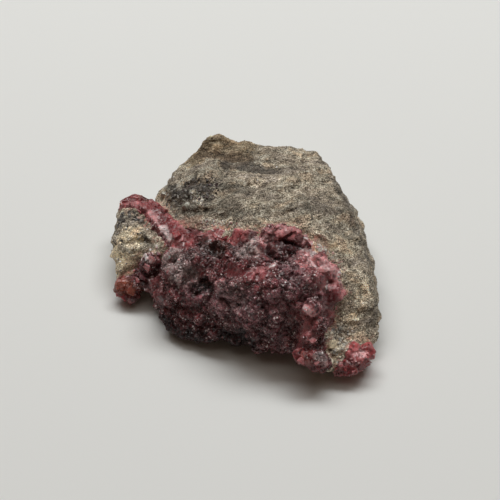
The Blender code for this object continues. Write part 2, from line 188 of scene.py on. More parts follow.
def added(name, data):
    """A new object in the scene, with the data."""
    made = bpy.data.objects.new(name, data)
    bpy.context.scene.collection.objects.link(made)
    return made


def facing(direction):
    """The turn that points a camera or a lamp that way."""
    return direction.to_track_quat("-Z", "Y").to_euler()


def camera():
    """The camera at the photograph's viewing angle."""
    data = bpy.data.cameras.new("portrait_camera")
    data.sensor_width = SENSOR
    data.lens = LENS
    data.clip_start = NEAREST_SEEN
    made = added("portrait_camera", data)
    tilt = math.radians(ELEVATION)
    back = Vector((0, -math.cos(tilt), math.sin(tilt)))
    made.location = (TARGET + back * DISTANCE) * MM
    made.rotation_euler = facing(-back)
    bpy.context.scene.camera = made
    bpy.context.view_layer.update()
    return made


def array_of(items, name, width=3):
    """The items' values of that name, as an array with a row for each item."""
    out = np.empty(len(items) * width)
    items.foreach_get(name, out)
    return out.reshape(-1, width)


def points_of(obj):
    """The mesh's points in millimetres, as an array."""
    return array_of(obj.data.vertices, "co") / MM


def normals_of(obj):
    """The normals at the mesh's points, as an array."""
    return array_of(obj.data.vertices, "normal")


def tree_of(obj):
    """A search tree over the object's surface, in millimetres."""
    faces = [list(face.vertices) for face in obj.data.polygons]
    return BVHTree.FromPolygons(points_of(obj).tolist(), faces)


CAMERA = camera()
TREES = {name: tree_of(obj) for name, obj in NODES.items()}


def cast(u, v, trees):
    """Where pixel (u, v) meets the surfaces, and the normal there.

    A pixel beside the specimen gets the place nearest to the end of its ray.
    """
    focal = LENS / SENSOR * FRAME_SIDE
    middle = FRAME_SIDE / 2
    turn = CAMERA.matrix_world.to_3x3()
    ray = (turn @ Vector(((u - middle) / focal, (middle - v) / focal, -1))).normalized()
    eye = CAMERA.location / MM
    hits = [tree.ray_cast(eye, ray) for tree in trees]
    hits = [hit for hit in hits if hit[0] is not None]
    if not hits:
        hits = [tree.find_nearest(eye + ray * DISTANCE) for tree in trees]
    return min(hits, key=lambda hit: hit[3])[:2]


def spot(u, v):
    """The place on the solids that pixel (u, v) shows, in millimetres."""
    return cast(u, v, TREES.values())[0]


def fractal(points, size, octaves, seed=0.0):
    """Noise for each point, about -1 to 1, whose features are about the size."""
    offset = Vector([seed * step for step in NOISE_STEP])
    return np.array([noise.fractal(Vector(p) / size + offset, 1.0, 2.0, octaves) for p in points])


def smooth_step(low, high, value):
    """0 up to the low value, 1 from the high one on, and an even bend between them."""
    t = np.clip((value - low) / (high - low), 0, 1)
    return t * t * (3 - 2 * t)


def distance_to_path(points, path):
    """Each point's distance to the line through the path's places."""
    best = np.full(len(points), np.inf)
    places = [np.array(place) for place in path]
    if len(places) == 1:
        return np.linalg.norm(points - places[0], axis=1)
    for a, b in zip(places, places[1:]):
        along = b - a
        t = np.clip((points - a) @ along / max(along @ along, 1e-9), 0, 1)
        best = np.minimum(best, np.linalg.norm(points - a - t[:, None] * along, axis=1))
    return best


def blend(tint, colour, weight):
    """Moves each tint towards the colour, by its weight."""
    tint += (np.array(colour) - tint) * weight[:, None]


def paint(points, start, patches, colours, wobble):
    """Colour at each point: the start colour, with each patch laid over what came before it."""
    tint = np.tile(np.array(start), (len(points), 1))
    for colour, strength, radius, *pixels in patches:
        away = distance_to_path(points, [spot(u, v) for u, v in pixels])
        ragged = away + wobble * radius * PATCH_WANDER
        weight = strength * (1 - smooth_step(PATCH_FADE[0] * radius, PATCH_FADE[1] * radius, ragged))
        blend(tint, colours[colour], weight)
    return tint


def zone_weight(points, zones, wobble=0.0):
    """1 inside the zones and 0 away from them. A zone is a radius and the pixels that it follows."""
    inside = np.zeros(len(points))
    for radius, *pixels in zones:
        away = distance_to_path(points, [spot(u, v) for u, v in pixels]) + wobble * radius * ZONE_WANDER
        inside = np.maximum(inside, 1 - smooth_step(ZONE_FADE[0] * radius, ZONE_FADE[1] * radius, away))
    return inside


def hollow_depth(points, hollows):
    """How deep each point is set in. A hollow is a radius, a depth and the pixels that it follows."""
    return sum(depth * zone_weight(points, [(radius, *pixels)]) for radius, depth, *pixels in hollows)


def applied(obj, smoothing):
    """The mesh that the object's modifiers make, after rounds of smoothing. The modifiers are taken off."""
    rounded = obj.modifiers.new("Rounded edges", "SMOOTH")
    rounded.factor = SMOOTH_FACTOR
    rounded.iterations = smoothing
    graph = bpy.context.evaluated_depsgraph_get()
    mesh = bpy.data.meshes.new_from_object(obj.evaluated_get(graph))
    obj.modifiers.clear()
    return mesh


def fine_copy(name, source, voxel, smoothing):
    """A copy of the solid's surface, rebuilt from small even faces with its facets' edges rounded."""
    made = added(name, source.data.copy())
    remesh = made.modifiers.new("Even faces", "REMESH")
    remesh.mode = "VOXEL"
    remesh.voxel_size = voxel * MM
    made.data = applied(made, smoothing)
    made.data.materials.clear()
    return made


def smoothed_points(obj, smoothing):
    """Where the mesh's points would be after that many rounds of smoothing."""
    mesh = applied(obj, smoothing)
    smoothed = array_of(mesh.vertices, "co") / MM
    bpy.data.meshes.remove(mesh)
    return smoothed


def stand_out(obj, smoothing):
    """How far each point stands out over the surface round it: above zero on edges, below it in hollows."""
    return np.einsum("ij,ij->i", points_of(obj) - smoothed_points(obj, smoothing), normals_of(obj))


def set_points(obj, points):
    """Moves the mesh's points to new places, in millimetres."""
    obj.data.vertices.foreach_set("co", (points * MM).ravel())
    obj.data.update()


def move_out(obj, height):
    """Moves each point along its normal by its height, and keeps it above the floor."""
    moved = points_of(obj) + normals_of(obj) * height[:, None]
    moved[:, 2] = np.maximum(moved[:, 2], 0.0)
    set_points(obj, moved)


def set_colour(obj, name, values):
    """Keeps a colour for each of the mesh's points under the name."""
    layer = obj.data.attributes.new(name, "FLOAT_COLOR", "POINT")
    whole = np.ones((len(values), 4), np.float32)
    whole[:, :3] = values
    layer.data.foreach_set("color", whole.ravel())


def set_number(obj, name, values):
    """Keeps a number for each of the mesh's points under the name."""
    layer = obj.data.attributes.new(name, "FLOAT", "POINT")
    layer.data.foreach_set("value", np.asarray(values, np.float32))


def nearest_distance(points, tree, reach):
    """Each point's distance to the other surface, cut off at the reach."""
    out = np.full(len(points), reach)
    for i, point in enumerate(points):
        found = tree.find_nearest(Vector(point), reach)
        if found[0] is not None:
            out[i] = found[3]
    return out


def along_layers(point, stretch):
    """The point with its distance across the layers stretched."""
    return point + LAYER_NORMAL * LAYER_NORMAL.dot(point) * (stretch - 1)


def slabs(points, size, slope, stretch):
    """Small flat broken faces that follow the layers, each with a slope of its own."""
    out = np.empty(len(points))
    for i, point in enumerate(points):
        place = along_layers(Vector(point), stretch) / size
        centre = noise.voronoi(place)[1][0]
        tilt = noise.cell_vector(centre * SLAB_SPREAD) * 2 - Vector((1, 1, 1))
        out[i] = tilt.dot(place - centre) * slope * size
    return out


def streaks(points, across, along, seed=0.0):
    """Noise drawn out along the layers."""
    out = np.empty(len(points))
    offset = Vector([seed * step for step in STREAK_STEP])
    for i, point in enumerate(points):
        place = Vector(point)
        flat = place - LAYER_NORMAL * LAYER_NORMAL.dot(place)
        drawn = flat / along + LAYER_NORMAL * (LAYER_NORMAL.dot(place) / across)
        out[i] = noise.fractal(drawn + offset, 1.0, 2.0, 2)
    return out


def knobs(points, size):
    """Rounded lumps, 1 at their tops and 0 in the grooves between them."""
    out = np.empty(len(points))
    for i, point in enumerate(points):
        nearest, second = noise.voronoi(Vector(point) / size)[0][:2]
        out[i] = min((second - nearest) / GROOVE, 1.0)
    return out


class Shader:
    """A new material and short ways to add its nodes."""

    def __init__(self, name):
        self.material = bpy.data.materials.new(name)
        self.material.use_nodes = True
        self.tree = self.material.node_tree
        self.principled = self.tree.nodes["Principled BSDF"]

    def add(self, kind, inputs=None, **settings):
        made = self.tree.nodes.new(kind)
        for name, value in settings.items():
            setattr(made, name, value)
        for name, value in (inputs or {}).items():
            self.put(made.inputs[name], value)
        return made

    def put(self, socket, value):
        if isinstance(value, bpy.types.NodeSocket):
            self.tree.links.new(value, socket)
        else:
            socket.default_value = value

    def set(self, name, value):
        self.put(self.principled.inputs[name], value)

    def math(self, operation, a, b):
        return self.add("ShaderNodeMath", {0: a, 1: b}, operation=operation).outputs[0]

    def vector(self, operation, a, b):
        made = self.add("ShaderNodeVectorMath", {0: a, 1: b}, operation=operation)
        return made.outputs["Value" if operation == "DOT_PRODUCT" else "Vector"]

    def scaled(self, a, amount):
        return self.add("ShaderNodeVectorMath", {0: a, "Scale": amount}, operation="SCALE").outputs["Vector"]

    def mix(self, factor, a, b, blend="MIX"):
        made = self.add("ShaderNodeMix", {0: factor, 6: a, 7: b}, data_type="RGBA", blend_type=blend)
        return made.outputs[2]

    def grey(self, value):
        return self.add("ShaderNodeCombineColor", {0: value, 1: value, 2: value}).outputs[0]

    def parts(self, colour):
        return self.add("ShaderNodeSeparateColor", {"Color": colour}).outputs

    def noise(self, vector, scale, detail, roughness=0.5, output="Fac"):
        inputs = {"Vector": vector, "Scale": scale, "Detail": detail, "Roughness": roughness}
        return self.add("ShaderNodeTexNoise", inputs).outputs[output]

    def voronoi(self, vector, scale):
        return self.add("ShaderNodeTexVoronoi", {"Vector": vector, "Scale": scale}).outputs

    def span(self, value, low, high, to_low=0.0, to_high=1.0):
        inputs = {"Value": value, "From Min": low, "From Max": high, "To Min": to_low, "To Max": to_high}
        return self.add("ShaderNodeMapRange", inputs).outputs["Result"]

    def ramp(self, value, stops):
        made = self.add("ShaderNodeValToRGB", {"Fac": value})
        elements = made.color_ramp.elements
        while len(elements) < len(stops):
            elements.new(0.5)
        for element, (position, colour) in zip(elements, stops):
            element.position = position
            element.color = (*colour, 1)
        return made.outputs["Color"]

    def attribute(self, name, output="Fac"):
        return self.add("ShaderNodeAttribute", attribute_name=name).outputs[output]

    def millimetres(self):
        return self.scaled(self.add("ShaderNodeTexCoord").outputs["Object"], 1 / MM)

    def bump(self, height, distance, strength):
        inputs = {"Height": height, "Distance": distance, "Strength": strength}
        return self.add("ShaderNodeBump", inputs).outputs["Normal"]


def rock_material():
    """Grey-beige rock whose grain is drawn out along its layers, coloured by the tints on its points."""
    s = Shader("grey_layered_rock_look")
    co = s.millimetres()
    warp = s.noise(co, 0.11, 1.0, output="Color")
    bent = s.vector("ADD", co, s.scaled(s.vector("SUBTRACT", warp, MIDDLE), 3.6))
    turn = Vector((0, 0, 1)).rotation_difference(LAYER_NORMAL).to_euler()
    inputs = {"Vector": bent, "Rotation": turn, "Scale": (2.4, 1.8, 1.0)}
    drawn = s.add("ShaderNodeMapping", inputs, vector_type="TEXTURE").outputs["Vector"]
    coarse = s.noise(drawn, 1.0, 3.0, 0.6)
    fine = s.noise(drawn, 3.2, 2.0, 0.6)
    grit = s.noise(co, 3.9, 2.0, 0.65)
    value = s.math("ADD", s.math("MULTIPLY", coarse, 0.26), s.math("MULTIPLY", fine, 0.24))
    value = s.math("ADD", value, s.math("MULTIPLY", grit, 0.50))
    body = s.ramp(value, ROCK_SHADES)
    hue = s.ramp(s.noise(drawn, 0.30, 3.0, 0.6), ROCK_HUES)
    tint = s.attribute("tint", "Color")
    parts = s.parts(tint)
    calm = s.span(s.math("SUBTRACT", parts[0], parts[2]), 0.12, 0.42, 0.0, 0.5)
    body = s.mix(calm, body, CALM_ROCK)
    colour = s.mix(1.0, body, tint, "MULTIPLY")
    s.set("Base Color", s.mix(1.0, colour, hue, "MULTIPLY"))
    s.set("Roughness", s.span(value, 0.42, 0.60, 0.9, 0.5))
    height = s.math("ADD", s.math("MULTIPLY", fine, 0.5), s.math("MULTIPLY", grit, 0.5))
    s.set("Normal", s.bump(height, 0.0005, 0.7))
    return s.material


def crust_material():
    """Glassy crystals with small flat faces: whitish clouds in the clear ones, dust and painted sheen on the
    others.
    """
    s = Shader("dark_red_eudialyte_look")
    co = s.millimetres()
    cells = s.voronoi(co, 0.9)
    small = s.voronoi(co, 2.6)
    fine = s.attribute("fine")
    pick = s.parts(cells["Color"])
    pick_small = s.parts(small["Color"])
    light = s.math("MULTIPLY", s.span(pick[0], 0, 1, 0.72, 1.3), s.span(pick_small[0], 0, 1, 0.55, 1.5))
    uneven = s.math("MULTIPLY", s.math("SUBTRACT", light, 1.0), s.span(fine, 0, 1, 0.6, 1.0))
    light = s.math("ADD", 1.0, uneven)
    colour = s.mix(1.0, s.attribute("tint", "Color"), s.grey(light), "MULTIPLY")
    cloud = s.span(s.noise(co, 0.62, 4.0, 0.6), 0.50, 0.66)
    colour = s.mix(s.math("MULTIPLY", cloud, s.span(fine, 0, 1, 0.34, 0.0)), colour, CLOUD_COLOUR)
    dust_and_sheen_pattern = s.span(s.noise(co, 2.4, 3.0, 0.65), 0.50, 0.66)
    colour = s.mix(s.math("MULTIPLY", dust_and_sheen_pattern, s.attribute("dust_and_sheen")), colour, DUST_AND_SHEEN_COLOUR)
    s.set("Base Color", colour)
    s.set("Roughness", s.span(pick_small[1], 0, 1, 0.12, 0.5))
    s.set("IOR", 1.6)
    s.set("Subsurface Weight", 0.4)
    s.set("Subsurface Radius", (1.0, 0.28, 0.30))
    s.set("Subsurface Scale", 0.0012)
    facets = []
    for pattern in (cells, small):
        lean = s.vector("SUBTRACT", pattern["Color"], MIDDLE)
        facets.append(s.vector("DOT_PRODUCT", lean, s.vector("SUBTRACT", co, pattern["Position"])))
    height = s.math("MULTIPLY", s.math("ADD", *facets), s.span(fine, 0, 1, 0.5, 1.0))
    s.set("Normal", s.bump(height, 0.0009, 0.8))
    return s.material


def grain_material():
    """Small grains, each with its own tint and gloss."""
    s = Shader("fine_eudialyte_grains_look")
    co = s.millimetres()
    light = s.span(s.noise(co, 2.4, 3.0, 0.6), 0.3, 0.7, 0.6, 1.45)
    s.set("Base Color", s.mix(1.0, s.attribute("tint", "Color"), s.grey(light), "MULTIPLY"))
    s.set("Roughness", s.attribute("gloss"))
    s.set("IOR", 1.52)
    s.set("Normal", s.bump(s.noise(co, 5.0, 2.0), 0.0002, 0.5))
    return s.material


# Colour patches of the rock: tint, strength, radius and the pixels that the patch follows
ROCK_PATCHES = [
    ("tan", 0.9, 5.0, (200, 150), (215, 140), (240, 145)),
    # Painted shadow: the brown line under the tan peak is the shade below its ledge
    ("brown", 0.95, 1.7, (203, 154), (222, 156), (245, 160)),
    ("darker", 0.75, 1.9, (228, 164), (250, 168), (274, 174)),
    ("dark", 0.6, 2.0, (212, 182), (235, 188), (248, 192)),
    ("pale", 0.55, 2.2, (235, 180), (270, 178), (300, 176)),
    ("pale", 0.45, 2.4, (250, 205), (290, 195), (330, 190)),
    ("pale", 0.5, 2.0, (270, 160), (310, 158)),
    ("dark", 0.5, 2.6, (215, 210), (240, 214)),
    # Painted shade on the right flank, which faces away from the lights
    ("dark", 0.8, 2.0, (338, 185), (350, 215), (362, 240), (370, 262)),
    ("dark", 0.5, 1.6, (262, 196), (300, 208), (335, 212)),
    ("darker", 0.8, 4.2, (172, 206), (186, 194)),
    ("darker", 0.75, 2.6, (170, 192), (196, 186), (206, 196)),
    ("dark", 0.9, 3.2, (184, 216), (200, 212)),
    ("pale", 0.9, 1.5, (160, 188), (159, 198)),
    ("white", 0.9, 0.9, (192, 191), (199, 202)),
    ("white", 0.6, 0.8, (183, 179), (179, 185)),
    ("white", 0.4, 1.9, (205, 221), (240, 227)),
    ("pale", 0.75, 3.0, (300, 232), (340, 250), (345, 290)),
    ("cream", 0.4, 2.4, (350, 250), (356, 285)),
    ("white", 0.8, 1.9, (304, 258), (310, 250), (318, 252)),
    ("pink", 0.75, 1.2, (320, 240), (324, 246)),
    # Painted light: the next two white patches lift faces at the lower right that lie in shade
    ("white", 0.8, 1.7, (356, 264), (363, 280), (367, 300)),
    ("white", 0.72, 3.4, (345, 278), (350, 298), (354, 322)),
    ("dark", 0.7, 1.8, (333, 316), (340, 332)),
    ("white", 0.95, 3.2, (326, 352), (338, 356), (345, 346)),
    ("yellow", 1.0, 1.3, (333, 345)),
    ("cream", 0.85, 3.2, (126, 236), (131, 250)),
    ("yellow", 0.4, 1.6, (122, 240), (130, 232)),
    ("yellow", 0.95, 2.8, (114, 256), (117, 270), (120, 283)),
    ("white", 0.6, 1.5, (128, 209), (138, 208)),
    ("darker", 0.9, 1.7, (121, 219), (134, 214), (148, 216), (153, 226)),
    ("darker", 0.85, 1.2, (145, 238), (151, 245)),
    ("dark", 0.75, 1.3, (111, 228), (113, 246)),
    ("darker", 0.6, 0.9, (120, 262), (128, 268)),
    ("white", 0.6, 1.3, (158, 240)),
    ("rust", 0.7, 0.8, (165, 240), (170, 244)),
    # Painted shade in the groove between the band and the shoulder
    ("dark", 0.85, 1.5, (176, 208), (185, 218), (193, 224)),
    ("maroon", 0.8, 1.8, (183, 222), (197, 223)),
    ("maroon", 0.7, 1.1, (245, 230), (254, 231)),
    ("tan", 0.75, 1.5, (322, 246), (332, 247)),
    # Painted light: the bright patches lift the lobe's faces that lie in shade
    ("bright", 0.9, 2.5, (115, 254), (120, 262), (123, 272)),
    ("bright", 0.7, 1.4, (130, 262), (132, 266)),
    ("bright", 0.5, 1.3, (136, 237), (139, 240)),
    ("dark", 0.45, 1.1, (299, 196), (312, 199)),
    ("dark", 0.5, 1.5, (332, 202), (342, 210)),
    ("dark", 0.4, 1.4, (276, 221), (288, 222)),
    ("darker", 0.6, 1.4, (228, 166), (240, 167)),
    ("dark", 0.35, 1.4, (352, 268), (356, 272)),
    ("dark", 0.4, 1.2, (369, 299), (371, 306)),
    ("pale", 0.6, 1.3, (252, 183), (258, 184)),
    ("white", 0.5, 0.9, (201, 208)),
    # Painted light: the next two patches lift faces at the lower right that lie in shade
    ("white", 0.6, 1.5, (351, 317), (353, 326)),
    ("bright", 0.5, 1.3, (353, 318), (355, 322)),
    # Painted light on the lobe
    ("bright", 0.5, 1.1, (138, 252), (139, 255)),
    ("maroon", 0.7, 1.1, (320, 243), (326, 247)),
    ("dark", 0.6, 1.2, (178, 214), (180, 216)),
    ("dark", 0.35, 1.3, (296, 174), (302, 175)),
    ("white", 0.45, 1.4, (254, 183), (260, 182)),
]
# The colour patches of the crust and of the toe, in the same terms
CRUST_PATCHES = [
    # Painted shade: black and dark towards the bottom of the front, where it is undercut
    ("black", 0.98, 6.0, (172, 334), (205, 346), (240, 350)),
    ("dark", 0.6, 5.0, (180, 322), (205, 332), (235, 338)),
    ("purple", 0.85, 5.0, (192, 285), (220, 302)),
    ("red", 0.5, 4.0, (170, 300), (185, 316), (205, 318)),
    ("purple", 0.85, 6.5, (285, 280), (310, 285)),
    ("purple", 0.75, 6.0, (245, 300), (275, 315), (285, 330)),
    # The violet-grey patches are partly the crystals' pale grey and partly painted sheen on the upper faces
    ("violet_grey", 0.85, 5.2, (172, 254), (190, 252)),
    ("violet_grey", 0.55, 3.6, (180, 268), (200, 275)),
    ("dark", 0.9, 4.8, (203, 252), (215, 244), (222, 256)),
    ("brown", 0.5, 3.0, (210, 240), (218, 250)),
    ("red", 0.75, 3.6, (208, 268), (240, 274), (262, 276)),
    ("violet_grey", 0.9, 3.3, (250, 249), (262, 240)),
    ("red", 0.95, 3.2, (186, 226), (192, 232), (206, 234)),
    ("wine", 0.6, 1.7, (188, 226), (198, 231)),
    ("bright_red", 0.7, 2.0, (216, 234), (226, 238)),
    ("bright_red", 0.7, 1.8, (234, 240), (242, 232)),
    ("dark", 0.95, 3.3, (274, 249), (285, 245), (298, 246)),
    ("pink", 0.9, 1.6, (266, 232), (280, 230), (300, 236)),
    ("pale_pink", 0.4, 0.9, (267, 231), (280, 228), (294, 230), (306, 239)),
    ("red", 0.8, 1.8, (264, 240), (262, 234)),
    ("white", 0.75, 1.7, (307, 257), (313, 251)),
    ("pink", 0.85, 1.0, (256, 271), (268, 268)),
    # Painted highlight: a white glint
    ("white", 0.9, 0.8, (273, 265)),
    ("pink", 0.9, 2.6, (305, 262), (322, 262), (330, 272)),
    ("pale_pink", 0.9, 1.3, (312, 261), (326, 266), (332, 272)),
    ("red", 0.6, 2.2, (318, 282), (336, 290), (338, 305)),
    ("pink", 0.6, 1.0, (341, 284), (342, 296)),
    # Painted highlight on the bright spot at the right
    ("pale_pink", 0.7, 0.8, (323, 285), (328, 289)),
    ("pink", 0.8, 2.0, (306, 310), (314, 318)),
    ("pale_pink", 0.8, 0.9, (305, 308), (311, 313)),
    ("pink", 0.7, 1.2, (332, 313), (336, 310)),
    ("red", 0.8, 2.8, (306, 325), (312, 338)),
    ("wine", 0.7, 1.5, (293, 305), (292, 325), (294, 342)),
    ("pink", 0.6, 2.0, (303, 312), (308, 330), (302, 344)),
    ("red", 0.8, 3.0, (298, 350), (308, 362), (318, 366)),
    ("orange", 0.3, 1.4, (302, 356), (308, 360)),
    ("red", 0.8, 3.4, (160, 286), (156, 296), (162, 300)),
    ("red", 0.95, 3.8, (156, 206), (172, 228), (182, 243)),
    ("pale_pink", 0.6, 0.6, (150, 211), (158, 224), (168, 240)),
    ("red", 0.85, 2.4, (130, 198), (145, 206)),
    ("pink", 0.6, 0.9, (120, 203), (128, 206), (136, 204)),
    ("brown", 0.7, 1.0, (140, 198), (146, 201)),
    ("orange", 0.85, 2.6, (120, 288), (132, 288)),
    ("red", 0.8, 2.0, (128, 302), (135, 298)),
    ("wine", 0.8, 2.2, (142, 275), (148, 285)),
    # Painted shade in the dent
    ("black", 0.85, 1.9, (193, 291), (203, 285)),
    ("white", 0.6, 0.9, (163, 228), (170, 239)),
    ("white", 0.7, 1.2, (338, 276), (341, 282)),
    ("pink", 0.6, 1.2, (330, 278), (334, 280)),
    ("pale_pink", 0.8, 1.5, (264, 239), (273, 237)),
    ("pale_pink", 0.8, 1.0, (304, 236), (308, 240)),
    ("white", 0.35, 1.2, (320, 357), (324, 361)),
    ("wine", 0.8, 1.5, (189, 230), (198, 230)),
    ("wine", 0.7, 1.3, (312, 302), (318, 303)),
    ("pink", 0.5, 1.9, (312, 277), (322, 278), (331, 279)),
    # Partly the crystals' pale grey and partly painted sheen
    ("lilac_grey", 0.35, 3.2, (228, 294), (238, 298)),
    ("violet_grey", 0.5, 1.4, (187, 270), (190, 271)),
]
TOE_PATCHES = [
    ("red", 0.4, 2.6, (338, 372), (350, 370)),
    ("wine", 0.7, 1.5, (366, 368), (372, 362)),
    ("wine", 0.6, 1.0, (350, 358), (352, 364)),
    ("pink", 0.6, 1.6, (356, 352), (364, 357)),
    ("pale_pink", 0.7, 0.7, (358, 352), (364, 354)),
    ("pale_pink", 0.5, 0.6, (340, 366), (348, 363)),
    ("pink", 0.7, 1.1, (338, 374), (354, 375)),
]

# Where the crystals are large, clear and smooth, with no fine grains on them: radius and pixels followed
CLEAR_ZONES = [
    (3.2, (155, 206), (165, 219), (175, 229), (181, 240)),
    (2.2, (120, 201), (133, 198), (146, 203)),
    (3.2, (268, 250), (280, 240), (296, 236), (303, 243)),
    (4.2, (325, 285), (333, 298), (328, 306)),
    (1.9, (309, 311), (311, 328), (304, 345), (299, 358), (312, 366)),
    (2.6, (189, 230), (206, 235), (222, 238), (238, 236)),
    (3.2, (122, 288), (130, 300)),
    (1.1, (256, 271), (272, 266)),
    (1.7, (232, 271), (262, 276)),
    (2.6, (158, 288), (160, 298)),
    (2.6, (320, 262), (333, 274)),
]

# Where the crust and the toe are set in a little from their solids: radius, depth and pixels followed
HOLLOWS = [
    (2.0, 1.3, (193, 290), (203, 285)),
    (1.5, 0.8, (214, 250), (222, 254)),
    (1.2, 0.5, (146, 198)),
    (1.6, 0.4, (123, 303), (134, 307)),
    (2.0, 0.4, (346, 378), (362, 375)),
]
# The same for the rock. A depth below zero is a swelling
ROCK_HOLLOWS = [
    (2.6, 0.4, (171, 175), (182, 163)),
    (4.0, -0.5, (351, 200), (363, 226)),
    (3.2, -0.4, (262, 144), (284, 144)),
    (2.0, -0.35, (205, 138), (213, 136)),
]

# Crystals large enough to be seen one by one: pixel, half-width and colour
HOLLOW_CRYSTALS = [
    (273, 250, 1.8, "dark"), (282, 247, 2.3, "dark"), (294, 243, 2.4, "wine"), (303, 247, 1.7, "wine"),
    (279, 240, 1.0, "pink"), (287, 238, 1.9, "wine"), (299, 237, 1.3, "wine"), (265, 240, 0.9, "pale_pink"),
    (268, 232, 0.9, "pink"), (276, 229, 0.8, "pink"), (285, 228, 0.8, "pale_pink"), (294, 230, 0.9, "pink"),
    (306, 239, 0.8, "white"), (290, 256, 1.3, "dark"), (300, 255, 1.1, "wine"), (309, 248, 0.7, "pink"),
]
RIGHT_CRYSTALS = [
    (303, 265, 1.1, "pink"), (311, 262, 1.2, "pale_pink"), (319, 264, 1.0, "pink"),
    (327, 268, 1.1, "pale_pink"), (315, 271, 0.8, "purple"), (332, 276, 0.9, "pink"),
    (318, 286, 1.1, "wine"), (332, 296, 1.2, "wine"), (319, 296, 1.1, "dark"), (335, 303, 1.0, "wine"),
    (326, 304, 1.1, "wine"), (339, 288, 0.8, "pink"), (338, 278, 0.7, "white"), (331, 312, 1.2, "pink"),
    (336, 308, 0.9, "pink"), (338, 296, 0.9, "red"), (322, 277, 1.0, "purple"),
    # Painted highlight: the pale and white crystals from here on make the bright spot at the right
    (323, 284, 0.6, "pale_pink"), (326, 287, 0.7, "white"), (325, 291, 0.6, "pale_pink"),
    (329, 285, 0.6, "pale_pink"), (321, 289, 0.5, "pale_pink"), (330, 290, 0.5, "pink"),
    (327, 282, 0.4, "white"), (319, 283, 0.4, "pale_pink"),
]
BAND_CRYSTALS = [
    (157, 206, 1.3, "red"), (163, 212, 1.4, "red"), (168, 219, 1.4, "bright_red"), (173, 227, 1.5, "red"),
    (177, 234, 1.3, "bright_red"), (181, 240, 1.2, "pink"), (162, 220, 0.6, "pale_pink"),
    (168, 232, 0.6, "pale_pink"), (174, 219, 1.0, "red"), (150, 203, 1.1, "pink"), (126, 201, 1.2, "red"),
    (134, 198, 1.3, "pink"), (142, 200, 1.1, "red"), (121, 205, 0.9, "orange"),
]
VALLEY_CRYSTALS = [
    (190, 230, 1.0, "wine"), (198, 235, 0.9, "wine"), (206, 233, 0.9, "red"), (216, 237, 1.0, "bright_red"),
    (224, 240, 1.1, "red"), (232, 241, 0.9, "red"), (240, 235, 1.1, "bright_red"), (248, 232, 0.8, "pink"),
    (220, 231, 0.7, "pink"), (203, 227, 0.7, "red"), (257, 232, 0.8, "pink"),
]
COLUMN_CRYSTALS = [
    (306, 310, 0.9, "pink"), (314, 313, 1.0, "pink"), (309, 319, 0.7, "pink"), (301, 315, 0.9, "pink"),
    (301, 328, 1.2, "red"), (311, 329, 1.2, "wine"), (317, 322, 0.9, "pink"), (304, 338, 1.3, "red"),
    (313, 340, 1.0, "pink"), (298, 346, 1.1, "wine"), (310, 348, 1.0, "wine"), (296, 355, 1.2, "red"),
    (303, 362, 1.2, "pink"), (311, 358, 1.1, "red"), (316, 364, 1.0, "pink"), (295, 364, 0.8, "pale_pink"),
    (307, 369, 0.9, "pale_pink"), (300, 352, 0.8, "dark"), (306, 355, 0.8, "dark"), (299, 368, 0.7, "pink"),
]
TIP_CRYSTALS = [
    (121, 288, 1.6, "orange"), (129, 291, 1.5, "orange"), (135, 287, 1.1, "pale_pink"),
    (125, 297, 1.1, "red"), (133, 299, 1.1, "wine"), (118, 295, 0.7, "pink"), (140, 293, 1.3, "dark"),
    (135, 306, 0.9, "wine"),
]
LEDGE_CRYSTALS = [
    (140, 263, 1.2, "pink"), (146, 256, 1.2, "white"), (152, 260, 1.1, "pale_pink"),
    (158, 255, 1.0, "purple"), (148, 267, 1.2, "pink"), (142, 275, 1.1, "purple"), (137, 281, 1.0, "pink"),
    (150, 250, 0.8, "white"), (157, 247, 0.7, "white"), (134, 270, 0.8, "pale_pink"),
    (144, 282, 0.9, "dark"),
]
# Painted glints: pale crystals set where glints show, partly in the crystals' own lilac and pink
PAINTED_GLINTS = [
    (170, 257, 0.5, "white"), (178, 262, 0.5, "white"), (183, 250, 0.5, "white"), (195, 256, 0.6, "white"),
    (188, 268, 0.5, "lilac_grey"), (249, 287, 0.6, "white"), (283, 280, 0.7, "pale_pink"),
    (222, 318, 0.6, "pale_pink"), (273, 338, 0.8, "white"), (203, 318, 0.8, "lilac_grey"),
    (240, 300, 0.8, "lilac_grey"), (262, 301, 0.9, "purple"), (228, 290, 0.7, "pale_pink"),
    (296, 300, 0.9, "purple"), (273, 264, 0.8, "pale_pink"), (265, 269, 1.0, "pink"),
    (257, 271, 0.9, "pink"), (250, 273, 0.7, "pink"), (213, 300, 0.6, "lilac_grey"),
    (175, 275, 0.7, "lilac_grey"),
]
TOE_CRYSTALS = [
    (345, 369, 1.1, "bright_red"), (352, 372, 1.0, "bright_red"), (358, 367, 1.1, "red"),
    (365, 361, 1.1, "wine"), (356, 359, 0.9, "bright_red"), (363, 352, 0.8, "pink"),
    (370, 362, 1.0, "wine"), (350, 363, 0.6, "pale_pink"), (359, 354, 0.7, "pale_pink"),
    (341, 366, 0.6, "pink"), (347, 374, 0.8, "red"), (361, 372, 0.7, "red"), (353, 365, 0.6, "pink"),
    (368, 355, 0.7, "bright_red"), (337, 371, 0.7, "red"), (345, 363, 0.5, "white"),
]
# Large grains of the rock, in the same terms
ROCK_GRAINS = [
    (163, 190, 1.9, "grey_green"), (165, 184, 1.3, "grey_green"), (163, 197, 1.4, "grey_green"),
    (333, 345, 1.5, "yellow"), (326, 338, 0.9, "white"),
]

